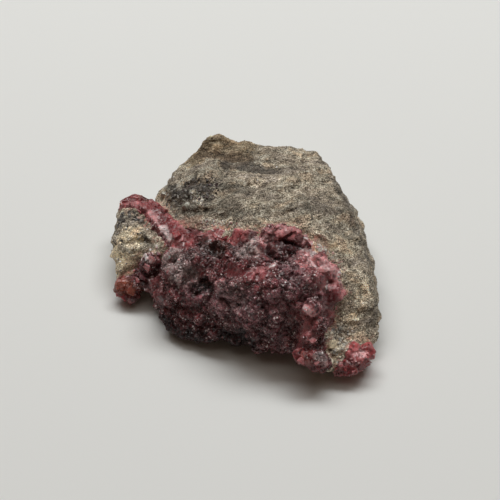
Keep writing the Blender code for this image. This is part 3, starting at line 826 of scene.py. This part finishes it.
# Zones of the rock with coarser loose grains: radius, how many, half-width, colours and pixels followed
GRAIN_ZONES = [
    (4.2, 190, 0.38, ("grey", "black", "grey", "black", "dusky"), (172, 206), (186, 194), (204, 190)),
    (1.3, 26, 0.42, ("white", "pale_grey", "grey_green"), (192, 191), (199, 202)),
    (1.1, 14, 0.36, ("pale_grey", "grey_green"), (183, 179), (179, 185)),
    (1.6, 30, 0.5, ("grey_green", "pale_grey"), (165, 184), (164, 198)),
    (3.4, 130, 0.42, ("white", "cream", "cream", "grey", "pale_grey"), (326, 350), (340, 348), (342, 338)),
    (3.6, 110, 0.30, ("pale_grey", "cream", "cream", "grey", "pale_grey", "black"),
     (120, 232), (132, 244), (118, 262)),
    (1.8, 40, 0.5, ("black", "grey", "black"), (121, 219), (134, 214), (150, 218)),
    (1.8, 40, 0.4, ("white", "rosy", "white"), (304, 258), (316, 252)),
    (1.6, 80, 0.32, ("white", "rosy", "white", "cream"), (206, 223), (222, 227), (240, 229)),
    (1.6, 70, 0.30, ("white", "rosy", "cream"), (312, 246), (330, 256), (342, 272)),
]


def finish_piece(obj, node, material, smooth):
    """Gives the piece its material, its shading and its body, and hides the solid that it replaces."""
    obj.data.materials.append(material)
    obj.data.polygons.foreach_set("use_smooth", [smooth] * len(obj.data.polygons))
    if node:
        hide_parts(node)
    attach(obj, "root")


def dress_rock():
    """The rock's surface, broken into slabs and streaked along its layers."""
    made = fine_copy("layered_rock", NODES["matrix"], ROCK_VOXEL, ROCK_SMOOTHING)
    points = points_of(made)
    crystals = (TREES["main_eudialyte"], TREES["right_toe_eudialyte"])
    near = np.minimum(*(nearest_distance(points, tree, reach=6.0) for tree in crystals))
    relief = slabs(points, size=2.6, slope=0.08, stretch=2.0) + streaks(points, across=0.9, along=2.6) * 0.10
    relief += fractal(points, 1.5, 3) * 0.10
    # It closes the gap under the crystals' edges
    relief += 0.55 * (1 - smooth_step(0.4, 1.1, near))
    relief -= hollow_depth(points, ROCK_HOLLOWS)
    # It stays flat where it rests on the floor
    standing = smooth_step(0.2, 1.0, points[:, 2])
    move_out(made, relief * standing)
    wobble = fractal(points, 2.2, 3, seed=1) + 0.5 * fractal(points, 0.6, 1, seed=2)
    tint = paint(points, ROCK_TINTS["plain"], ROCK_PATCHES, ROCK_TINTS, wobble)
    uneven = 0.30 * streaks(points, across=1.6, along=5.0, seed=2) + 0.22 * fractal(points, 6.0, 2, seed=9)
    tint *= np.exp(uneven)[:, None]
    # It is paler round the crystals, with traces of pink along their edge
    zone = 1 - smooth_step(1.6, 4.2, near + wobble * 1.6)
    blend(tint, ROCK_TINTS["pale"], 0.45 * zone)
    speck = fractal(points, 0.8, 2, seed=5)
    edge = (1 - smooth_step(0.6, 2.2, near + wobble * 1.1)) * smooth_step(-0.1, 0.4, speck)
    blend(tint, ROCK_TINTS["pink"], 0.8 * edge)
    # Painted shade in the hollows and painted light on the edges that stand out
    tint *= (1 + np.clip(stand_out(made, smoothing=6) * 2.2, -0.35, 0.35))[:, None]
    set_colour(made, "tint", tint)
    finish_piece(made, "matrix", rock_material(), True)
    return made


def crust_colour(points, patches, start, near_rock):
    """The crystals' colour at each point, pinker where they end on the rock."""
    wobble = fractal(points, 2.6, 3, seed=3) + 0.6 * fractal(points, 0.8, 1, seed=4)
    tint = paint(points, CRYSTAL_COLOURS[start], patches, CRYSTAL_COLOURS, wobble)
    edge = 1 - smooth_step(0.5, 1.8, near_rock + wobble * 0.9)
    high = smooth_step(7.0, 12.0, points[:, 2])
    blend(tint, CRYSTAL_COLOURS["pink"], 0.25 * edge * high)
    blotch = fractal(points, 1.7, 2, seed=11)
    return tint * np.exp(0.5 * blotch + 0.5 * fractal(points, 4.5, 2, seed=12))[:, None]


def dress_crystals(name, node, start, patches, voxel, clear_all, material):
    """The surface of a solid of crystals: lumpy, or with its facets kept where the crystals are clear."""
    made = fine_copy(name, NODES[node], voxel, CRYSTAL_SMOOTHING)
    points = points_of(made)
    near = nearest_distance(points, TREES["matrix"], CRYSTAL_REACH)
    clear = np.ones(len(points))
    if not clear_all:
        clear = zone_weight(points, CLEAR_ZONES, fractal(points, 2.0, 2, seed=8))
    set_points(made, points + (smoothed_points(made, smoothing=9) - points) * (1 - clear)[:, None])
    relief = knobs(points, 2.2) * 0.45 + knobs(points, 0.9) * 0.18 - 0.1 + fractal(points, 3.0, 2) * 0.25
    relief = relief * (1 - 0.85 * clear) + fractal(points, 0.8, 2, seed=6) * 0.05
    # They close the gap over the rock
    relief += 0.3 * (1 - smooth_step(0.4, 0.9, near)) + 0.15 * clear
    relief -= hollow_depth(points, HOLLOWS)
    move_out(made, relief)
    tint = crust_colour(points, patches, start, near)
    # Edges are pinker; hollows and narrow places get painted shade, and broad lumps painted light
    proud = stand_out(made, smoothing=8)
    rim = smooth_step(0.10, 0.30, proud) * (0.15 + 0.45 * clear)
    tint += (np.array(CRYSTAL_COLOURS["pink"]) - tint) * rim[:, None] * smooth_step(0.02, 0.12, tint[:, :1])
    shade = 1 - 0.45 * smooth_step(0.05, 0.3, -proud)
    shade *= np.exp(np.clip(1.3 * stand_out(made, smoothing=45), -0.9, 0.45))
    tint *= shade[:, None]
    set_number(made, "shade", shade)
    set_colour(made, "tint", np.clip(tint, 0, 1))
    # Partly dust and partly painted sheen, heavier on the higher parts
    dust_and_sheen = smooth_step(-0.2, 0.5, fractal(points, 5.0, 2, seed=7)) * smooth_step(5.0, 14.0, points[:, 2])
    set_number(made, "dust_and_sheen", (0.10 + 0.6 * dust_and_sheen) * (1 - 0.8 * clear))
    set_number(made, "fine", 1 - clear)
    finish_piece(made, node, material, clear_all)
    return made


def hull(corners):
    """The convex hull of the corners, as points and triangles that face outwards."""
    bm = bmesh.new()
    verts = [bm.verts.new(corner) for corner in corners]
    bmesh.ops.convex_hull(bm, input=verts)
    bm.verts.ensure_lookup_table()
    bmesh.ops.triangulate(bm, faces=bm.faces[:])
    bmesh.ops.recalc_face_normals(bm, faces=bm.faces[:])
    bm.verts.index_update()
    points = np.array([vert.co for vert in bm.verts])
    faces = np.array([[vert.index for vert in face.verts] for face in bm.faces])
    bm.free()
    return points, faces


def ring(radius, height, first=0.0):
    """Three corners of a crystal at that height."""
    angles = [math.radians(first + 120 * i) for i in range(3)]
    return [(radius * math.cos(a), radius * math.sin(a), height) for a in angles]


TRIGONAL = ring(0.95, 0.2) + ring(0.95, -0.2, 60) + ring(0.55, 0.75) + ring(0.55, -0.75, 60)
BLOCK = [
    (0.8, 0.7, 0.5), (-0.7, 0.8, 0.4), (-0.8, -0.6, 0.6), (0.6, -0.8, 0.5),
    (0.7, 0.5, -0.6), (-0.6, 0.6, -0.7), (-0.5, -0.8, -0.5), (0.7, -0.6, -0.6),
]
SHARD = [
    (1.0, 0, 0.1), (-0.4, 0.9, 0), (-0.6, -0.7, 0.1),
    (0.2, 0.1, 0.95), (-0.1, 0.2, -0.9), (0.5, -0.6, -0.4),
]
# The grains' shapes, about one half-width in size, and how many of the grains have each
SHAPES = [hull(corners) for corners in (TRIGONAL, BLOCK, SHARD)]
SHAPE_SHARES = (0.25, 0.4, 0.35)


def random_turns(rng, count):
    """Random rotations as an array of matrices."""
    q = rng.normal(size=(count, 4))
    q /= np.linalg.norm(q, axis=1)[:, None]
    w, x, y, z = q.T
    rows = (
        (1 - 2 * (y * y + z * z), 2 * (x * y - z * w), 2 * (x * z + y * w)),
        (2 * (x * y + z * w), 1 - 2 * (x * x + z * z), 2 * (y * z - x * w)),
        (2 * (x * z - y * w), 2 * (y * z + x * w), 1 - 2 * (x * x + y * y)),
    )
    return np.stack([np.stack(row, 1) for row in rows], 1)


def face_table(obj):
    """Centre, normal and area of every face, in millimetres."""
    faces = obj.data.polygons
    area = array_of(faces, "area", 1)[:, 0]
    return array_of(faces, "center") / MM, array_of(faces, "normal"), area / MM / MM


def pick_faces(rng, weight, count):
    """Some of the faces, drawn by their weights and no face twice."""
    return rng.choice(len(weight), size=count, replace=False, p=weight / weight.sum())


def kept_values(obj, name, faces, kind, width):
    """What the mesh keeps under the name, at the first corner of each of the faces."""
    corners = [obj.data.polygons[i].vertices[0] for i in faces]
    return array_of(obj.data.attributes[name].data, kind, width)[corners]


def grains(name, material, rng, places, normals, half_widths, tint, gloss, sink):
    """One piece of small crystals, each sunk where it sits by a share of its half-width."""
    count = len(places)
    turns = random_turns(rng, count)
    squeeze = rng.uniform(0.7, 1.25, size=(count, 3))
    kind = rng.choice(len(SHAPES), count, p=SHAPE_SHARES)
    all_points, all_faces, all_tints, all_gloss, start = [], [], [], [], 0
    for k, (corners, faces) in enumerate(SHAPES):
        chosen = np.nonzero(kind == k)[0]
        local = corners[None] * squeeze[chosen][:, None, :] * half_widths[chosen][:, None, None]
        turned = np.einsum("nij,nkj->nki", turns[chosen], local)
        middles = places[chosen] - normals[chosen] * (half_widths[chosen] * sink)[:, None]
        points = (turned + middles[:, None, :]).reshape(-1, 3)
        offsets = start + np.arange(len(chosen)) * len(corners)
        all_points.append(points)
        all_faces.append((faces[None] + offsets[:, None, None]).reshape(-1, 3))
        all_tints.append(np.repeat(tint[chosen], len(corners), axis=0))
        all_gloss.append(np.repeat(gloss[chosen], len(corners)))
        start += len(points)
    points, faces = np.concatenate(all_points), np.concatenate(all_faces)
    points[:, 2] = np.maximum(points[:, 2], LOWEST_CORNER)
    mesh = bpy.data.meshes.new(name)
    mesh.from_pydata((points * MM).tolist(), [], faces.tolist())
    made = added(name, mesh)
    set_colour(made, "tint", np.concatenate(all_tints))
    set_number(made, "gloss", np.concatenate(all_gloss))
    finish_piece(made, None, material, False)


def rock_fragments(rock, material):
    """Fine broken grains all over the rock, in its own colours, and coarser ones in the zones."""
    rng = np.random.default_rng(FRAGMENT_SEED)
    centre, normal, area = face_table(rock)
    near = nearest_distance(centre, TREES["main_eudialyte"], reach=1.6)
    weight = area * (near > 0.6) * (centre[:, 2] > LOWEST_GRAIN)
    chosen = pick_faces(rng, weight, FRAGMENT_COUNT)
    own = kept_values(rock, "tint", chosen, "color", 4)[:, :3] * np.array(ROCK_BASE)
    tints = [own * np.exp(rng.normal(0, 0.5, len(chosen)))[:, None]]
    places, normals = [centre[chosen]], [normal[chosen]]
    sizes = [0.12 + 0.22 * rng.random(len(chosen)) ** 2]
    for radius, count, size, colours, *pixels in GRAIN_ZONES:
        inside = weight * (near > 1.1) * zone_weight(centre, [(radius, *pixels)])
        count = min(count, np.count_nonzero(inside))
        chosen = pick_faces(rng, inside, count)
        places.append(centre[chosen])
        normals.append(normal[chosen])
        sizes.append(size * rng.uniform(0.5, 1.3, count))
        named = np.array([GRAIN_COLOURS[colours[i % len(colours)]] for i in range(count)])
        tints.append(named * rng.uniform(0.7, 1.2, (count, 1)))
    places, normals, sizes, tint = map(np.concatenate, (places, normals, sizes, tints))
    tint = np.clip(tint, 0, 0.9)
    gloss = rng.uniform(0.3, 0.8, len(tint))
    grains(
        "rock_fragments", material,
        rng, places, normals, sizes, tint, gloss, sink=0.35,
    )


def toe_grains(toe, material):
    """Fine crystals between the toe's larger ones."""
    rng = np.random.default_rng(TOE_SEED)
    centre, normal, area = face_table(toe)
    chosen = pick_faces(rng, area * (centre[:, 2] > LOWEST_GRAIN), TOE_GRAIN_COUNT)
    spots, out = centre[chosen], normal[chosen]
    size = 0.12 + 0.34 * rng.random(len(chosen)) ** 3
    near = nearest_distance(spots, TREES["matrix"], CRYSTAL_REACH)
    tint = crust_colour(spots, TOE_PATCHES, "bright_red", near)
    tint *= np.exp(rng.normal(-0.2, 0.45, len(chosen)))[:, None]
    pale = rng.random(len(chosen)) < PALE_TOE_SHARE
    tint[pale] = np.array(CRYSTAL_COLOURS["pale_pink"]) * rng.uniform(0.6, 1.1, (pale.sum(), 1))
    tint = np.clip(tint, 0, 1)
    gloss = rng.uniform(0.08, 0.35, len(chosen))
    grains(
        "fine_toe_crystals", material,
        rng, spots, out, size, tint, gloss, sink=0.4,
    )


def crust_grains(crust, material):
    """Fine crystals all over the crust, apart from where its crystals are large and clear."""
    rng = np.random.default_rng(CRUST_SEED)
    centre, normal, area = face_table(crust)
    near = nearest_distance(centre, TREES["matrix"], reach=1.2)
    weight = area * (near > 0.45) * (1 - 0.93 * zone_weight(centre, CLEAR_ZONES))
    weight *= np.where(normal[:, 2] > -0.35, 1.0, 0.35)
    chosen = pick_faces(rng, weight, CRUST_GRAIN_COUNT)
    spots, out = centre[chosen], normal[chosen]
    size = 0.16 + 0.46 * rng.random(len(chosen)) ** 4
    near = nearest_distance(spots, TREES["matrix"], CRYSTAL_REACH)
    tint = crust_colour(spots, CRUST_PATCHES, "wine", near)
    # Painted highlight: pale specks go mostly on the lighter grains that face up
    lit = smooth_step(0.03, 0.12, tint[:, 0]) * smooth_step(-0.6, 0.3, out[:, 2])
    tint *= np.exp(np.minimum(rng.normal(-0.4, 0.5, len(chosen)), 0.0))[:, None]
    for name, share, least, most in SPECKS:
        picked = rng.random(len(chosen)) < share * lit
        strength = rng.uniform(least, most, (picked.sum(), 1))
        tint[picked] += (np.array(CRYSTAL_COLOURS[name]) - tint[picked]) * strength
        size[picked] = np.minimum(size[picked], LARGEST_SPECK)
    # The grains take the crust's painted shade and light
    tint = np.clip(tint * kept_values(crust, "shade", chosen, "value", 1), 0, 1)
    gloss = rng.uniform(0.05, 0.35, len(chosen))
    grains(
        "fine_crystals", material,
        rng, spots, out, size, tint, gloss, sink=0.45,
    )


def placed_crystals(name, material, rng, crystals, colours, surfaces):
    """Crystals set one by one on the dressed surfaces, each half sunk."""
    trees = [tree_of(surface) for surface in surfaces]
    hits = [cast(u, v, trees) for u, v, half_width, colour in crystals]
    places, normals = (np.array([tuple(hit[i]) for hit in hits]) for i in range(2))
    half_widths = np.array([half_width for u, v, half_width, colour in crystals])
    tint = np.array([colours[colour] for u, v, half_width, colour in crystals])
    gloss = rng.uniform(0.08, 0.3, len(crystals))
    grains(name, material, rng, places, normals, half_widths, tint, gloss, sink=0.5)


def studio():
    """The pale floor, the lights and the room round the specimen, which are no part of it."""
    mesh = bpy.data.meshes.new("pale_floor")
    corners = [(x * FLOOR_REACH, y * FLOOR_REACH, 0) for x, y in ((-1, -1), (1, -1), (1, 1), (-1, 1))]
    mesh.from_pydata(corners, [], [(0, 1, 2, 3)])
    floor = added("pale_floor", mesh)
    s = Shader("pale_paper")
    s.set("Base Color", FLOOR_COLOUR)
    s.set("Roughness", 0.9)
    s.set("Specular IOR Level", 0.1)
    mesh.materials.append(s.material)
    for name, place, size, energy, colour in LIGHTS:
        data = bpy.data.lights.new(name, "AREA")
        data.shape = "RECTANGLE"
        data.size, data.size_y = size
        data.energy = energy
        data.color = colour
        light = added(name, data)
        light.location = place
        light.rotation_euler = facing(-Vector(place))
    world = bpy.data.worlds.new("soft_room")
    world.use_nodes = True
    background = world.node_tree.nodes["Background"].inputs
    background["Color"].default_value = ROOM_COLOUR
    background["Strength"].default_value = ROOM_STRENGTH
    bpy.context.scene.world = world
    bpy.context.scene.view_settings.view_transform = "Standard"


rock = dress_rock()
crystal_look = crust_material()
crust = dress_crystals(
    "eudialyte_crust", "main_eudialyte",
    "wine", CRUST_PATCHES, CRUST_VOXEL, False, crystal_look,
)
toe = dress_crystals(
    "toe_crystals", "right_toe_eudialyte",
    "bright_red", TOE_PATCHES, TOE_VOXEL, True, crystal_look,
)
grain_look = grain_material()
crust_grains(crust, grain_look)
toe_grains(toe, grain_look)
rock_fragments(rock, grain_look)
dice = np.random.default_rng(CRYSTAL_SEED)
crust_crystals = HOLLOW_CRYSTALS + BAND_CRYSTALS + VALLEY_CRYSTALS + RIGHT_CRYSTALS
crust_crystals += COLUMN_CRYSTALS + TIP_CRYSTALS + LEDGE_CRYSTALS + PAINTED_GLINTS
placed_crystals(
    "large_crystals", crystal_look,
    dice, crust_crystals, CRYSTAL_COLOURS, [crust, rock],
)
placed_crystals(
    "large_toe_crystals", crystal_look,
    dice, TOE_CRYSTALS, CRYSTAL_COLOURS, [toe, rock],
)
placed_crystals("rock_grains", grain_look, dice, ROCK_GRAINS, GRAIN_COLOURS, [rock])
studio()
